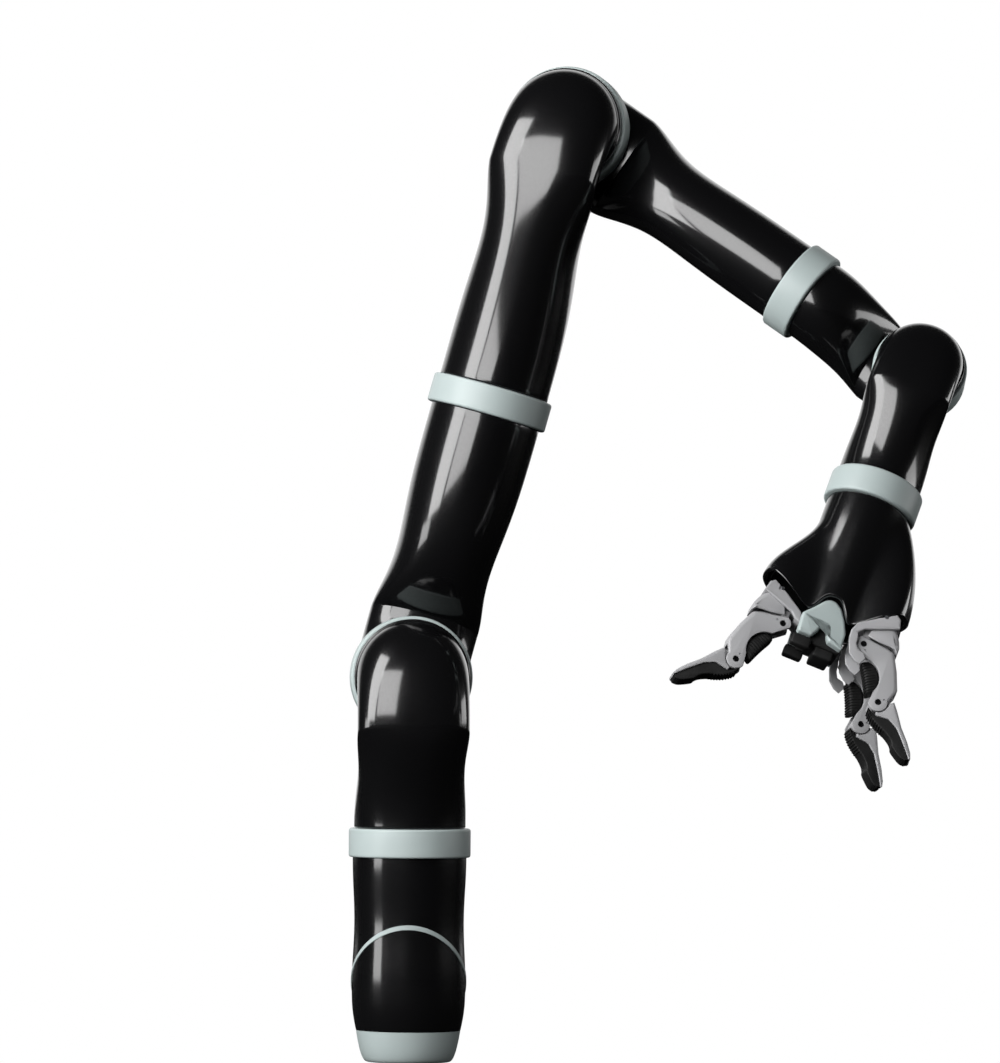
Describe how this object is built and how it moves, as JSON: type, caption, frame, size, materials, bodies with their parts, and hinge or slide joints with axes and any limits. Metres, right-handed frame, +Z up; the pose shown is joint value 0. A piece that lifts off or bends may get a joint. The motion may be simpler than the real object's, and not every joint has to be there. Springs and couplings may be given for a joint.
{
  "type": "robot arm",
  "caption": "Lightweight seven-axis robot arm standing on a round base, with a spherical wrist and an under-actuated three-finger gripper.",
  "frame": {"origin": "centre of the base's underside, in the plane it bolts to", "axes": "+Z up along the first joint's axis, +Y towards the connector panel, +X towards the side the arm leans to at rest"},
  "size_m": [0.4377, 0.2415, 0.7148],
  "materials": {
    "gloss_black_shell": "polished, fine metallic fleck in the clear coat",
    "pale_green_plastic": "satin",
    "finger_grey_plastic": "satin",
    "black_rubber": "matt, ribbed",
    "actuator_metal": "anodised",
    "pin_steel": "blackened",
    "circuit_board": "solder mask",
    "panel_plastic": "moulded",
    "button_plastic": "satin"
  },
  "bodies": {
    "base": {"base_foot": "pale_green_plastic", "base_shell": "gloss_black_shell", "base_cover": "gloss_black_shell", "base_trim": "pale_green_plastic", "controller_board": "circuit_board", "connector_panel": "panel_plastic", "ring_1": "pale_green_plastic", "actuator_1": "actuator_metal"},
    "button": {"power_button": "button_plastic"},
    "shoulder": {"output_1": "actuator_metal", "shoulder_shell": "gloss_black_shell", "actuator_2": "actuator_metal"},
    "lower_arm": {"output_2": "actuator_metal", "ring_2": "pale_green_plastic", "lower_arm_shell": "gloss_black_shell", "ring_3": "pale_green_plastic", "actuator_3": "actuator_metal"},
    "upper_arm": {"output_3": "actuator_metal", "upper_arm_shell": "gloss_black_shell", "actuator_4": "actuator_metal"},
    "forearm": {"output_4": "actuator_metal", "ring_4": "pale_green_plastic", "forearm_shell": "gloss_black_shell", "ring_5": "pale_green_plastic", "actuator_5": "actuator_metal"},
    "wrist_1": {"output_5": "actuator_metal", "wrist_1_shell": "gloss_black_shell", "ring_6": "pale_green_plastic", "actuator_6": "actuator_metal"},
    "wrist_2": {"output_6": "actuator_metal", "wrist_2_shell": "gloss_black_shell", "ring_7": "pale_green_plastic", "actuator_7": "actuator_metal"},
    "hand": {"output_7": "actuator_metal", "hand_shell": "gloss_black_shell", "palm_cover": "pale_green_plastic", "palm_pad": "black_rubber", "finger_drives": "actuator_metal", "thumb_bracket": "finger_grey_plastic", "far_finger_bracket": "finger_grey_plastic", "near_finger_bracket": "finger_grey_plastic"},
    "thumb": {"thumb_link": "finger_grey_plastic", "thumb_knuckle": "finger_grey_plastic", "thumb_link_pad": "black_rubber", "thumb_pins": "pin_steel"},
    "thumb_end": {"thumb_tip": "finger_grey_plastic", "thumb_tip_pad": "black_rubber"},
    "far_finger": {"far_finger_link": "finger_grey_plastic", "far_finger_knuckle": "finger_grey_plastic", "far_finger_link_pad": "black_rubber", "far_finger_pins": "pin_steel"},
    "far_finger_end": {"far_finger_tip": "finger_grey_plastic", "far_finger_tip_pad": "black_rubber"},
    "near_finger": {"near_finger_link": "finger_grey_plastic", "near_finger_knuckle": "finger_grey_plastic", "near_finger_link_pad": "black_rubber", "near_finger_pins": "pin_steel"},
    "near_finger_end": {"near_finger_tip": "finger_grey_plastic", "near_finger_tip_pad": "black_rubber"}
  },
  "joints": [
    {"name": "shoulder_turn", "type": "hinge", "parent": "base", "child": "shoulder", "pos_m": [0, 0, 0.15675], "axis": [0, 0, 1], "continuous": true},
    {"name": "shoulder_fold", "type": "hinge", "parent": "shoulder", "child": "lower_arm", "pos_m": [0, 0, 0.2755], "axis": [-0.0698, 0.9976, 0], "range_deg": [-140.5, 94.5]},
    {"name": "upper_arm_turn", "type": "hinge", "parent": "lower_arm", "child": "upper_arm", "pos_m": [0.05465, 0.00382, 0.47304], "axis": [0.2666, 0.0186, 0.9636], "continuous": true},
    {"name": "elbow_fold", "type": "hinge", "parent": "upper_arm", "child": "forearm", "pos_m": [0.1093, 0.00764, 0.67059], "axis": [0.2061, 0.9756, -0.0759], "range_deg": [-244.5, 25.5]},
    {"name": "wrist_turn", "type": "hinge", "parent": "forearm", "child": "wrist_1", "pos_m": [0.27685, -0.02686, 0.55309], "axis": [0.7985, -0.2125, -0.5632], "continuous": true},
    {"name": "wrist_fold", "type": "hinge", "parent": "wrist_1", "child": "wrist_2", "pos_m": [0.3597, -0.04891, 0.49466], "axis": [-0.0207, 0.9253, -0.3786], "range_deg": [-187, 43]},
    {"name": "hand_turn", "type": "hinge", "parent": "wrist_2", "child": "hand", "pos_m": [0.32594, -0.08671, 0.40413], "axis": [-0.3254, -0.3643, -0.8726], "continuous": true},
    {"name": "thumb_close", "type": "hinge", "parent": "hand", "child": "thumb", "pos_m": [0.25969, -0.13075, 0.31337], "axis": [0.1765, -0.93, 0.3225], "range_deg": [-21.5, 60.5]},
    {"name": "thumb_end_flex", "type": "hinge", "parent": "thumb", "child": "thumb_end", "pos_m": [0.22661, -0.14566, 0.28848], "axis": [0.1765, -0.93, 0.3225], "range_deg": [0, 45], "stiffness_Nm_per_rad": 0.12, "springref_deg": -17.19},
    {"name": "far_finger_close", "type": "hinge", "parent": "hand", "child": "far_finger", "pos_m": [0.30882, -0.10833, 0.28569], "axis": [-0.2726, 0.9198, -0.2824], "range_deg": [-24.5, 57.5]},
    {"name": "far_finger_end_flex", "type": "hinge", "parent": "far_finger", "child": "far_finger_end", "pos_m": [0.31452, -0.11959, 0.24353], "axis": [-0.2726, 0.9198, -0.2824], "range_deg": [0, 45], "stiffness_Nm_per_rad": 0.12, "springref_deg": -17.19},
    {"name": "near_finger_close", "type": "hinge", "parent": "hand", "child": "near_finger", "pos_m": [0.31627, -0.14758, 0.2993], "axis": [-0.0784, 0.93, -0.3591], "range_deg": [-20.5, 61.5]},
    {"name": "near_finger_end_flex", "type": "hinge", "parent": "near_finger", "child": "near_finger_end", "pos_m": [0.32573, -0.16236, 0.25895], "axis": [-0.0784, 0.93, -0.3591], "range_deg": [0, 45], "stiffness_Nm_per_rad": 0.12, "springref_deg": -17.19},
    {"name": "power_button_press", "type": "slide", "parent": "base", "child": "button", "axis": [0, -1, 0], "range_m": [0, 0.002], "stiffness_N_per_m": 500}
  ]
}
